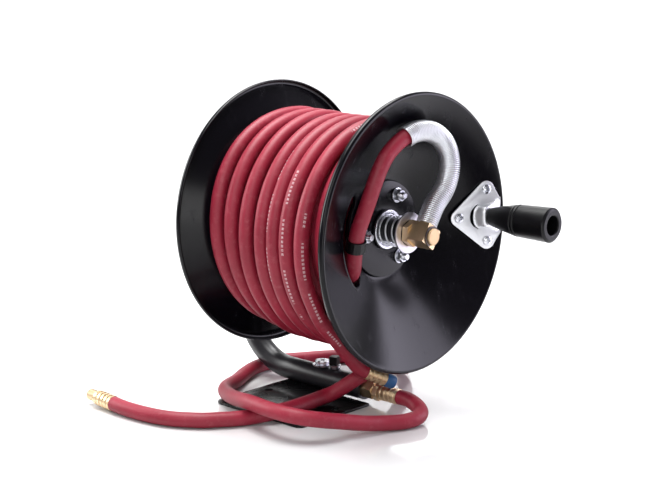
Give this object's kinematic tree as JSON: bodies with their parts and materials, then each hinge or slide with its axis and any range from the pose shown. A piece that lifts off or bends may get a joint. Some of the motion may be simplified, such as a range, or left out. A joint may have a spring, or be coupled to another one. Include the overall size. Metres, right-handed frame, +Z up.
{
  "type": "hand-cranked air hose reel",
  "caption": "Hand-cranked air hose reel: dished drum of wound hose on a bent pipe stand and base plate, fed through a swivel with a guarded hose, turned by a spinning side grip.",
  "frame": {"origin": "underside of the base plate, directly below the drum's axle", "axes": "+X along the drum's axle towards the crank side, +Z up, -Y towards the viewer's side"},
  "size_m": [0.3853, 0.3824, 0.3582],
  "materials": {
    "black_steel": "gloss powder coat",
    "zinc_steel": "bright zinc plate",
    "brass": "machined",
    "hose_rubber": "satin",
    "black_plastic": "satin",
    "blue_plastic": "satin",
    "white_plastic": "satin"
  },
  "bodies": {
    "stand": {"base_plate": "black_steel", "frame_pipe": "black_steel", "port_plug": "zinc_steel", "capped_stud": "zinc_steel", "stud_cap": "black_plastic", "swivel_spindle": "brass", "retaining_ring": "zinc_steel", "inlet_bush": "brass", "inlet_nut": "brass", "inlet_ferrule": "brass", "lead_hose": "hose_rubber", "lead_ferrule": "brass", "lead_nipple": "brass"},
    "drum": {"near_flange": "black_steel", "far_flange": "black_steel", "near_hub_plate": "black_steel", "far_hub_plate": "black_steel", "drum_core": "black_steel", "tie_rod_a": "zinc_steel", "tie_rod_b": "zinc_steel", "tie_rod_c": "zinc_steel", "tie_nut_a": "zinc_steel", "tie_nut_b": "zinc_steel", "tie_nut_c": "zinc_steel", "cup_washer": "zinc_steel", "brake_spring": "zinc_steel", "flat_washer": "zinc_steel", "spring_guard": "zinc_steel", "handle_bracket": "zinc_steel", "bracket_screw_a": "zinc_steel", "bracket_screw_b": "zinc_steel", "bracket_screw_c": "zinc_steel", "handle_bolt": "zinc_steel", "swivel_body": "brass", "port_neck": "brass", "outlet_fitting": "brass", "wound_hose": "hose_rubber", "hose_core": "hose_rubber", "swivel_hose": "hose_rubber", "hose_clamp": "black_plastic", "outlet_cap": "blue_plastic", "near_bush": "white_plastic", "far_bush": "white_plastic"},
    "grip": {"handle_grip": "black_plastic"}
  },
  "joints": [
    {"name": "drum_spin", "type": "hinge", "parent": "stand", "child": "drum", "pos_m": [0, 0, 0.20465], "axis": [1, 0, 0], "continuous": true},
    {"name": "grip_spin", "type": "hinge", "parent": "drum", "child": "grip", "pos_m": [0.15, 0.12796, 0.208], "axis": [1, 0, 0], "continuous": true}
  ]
}
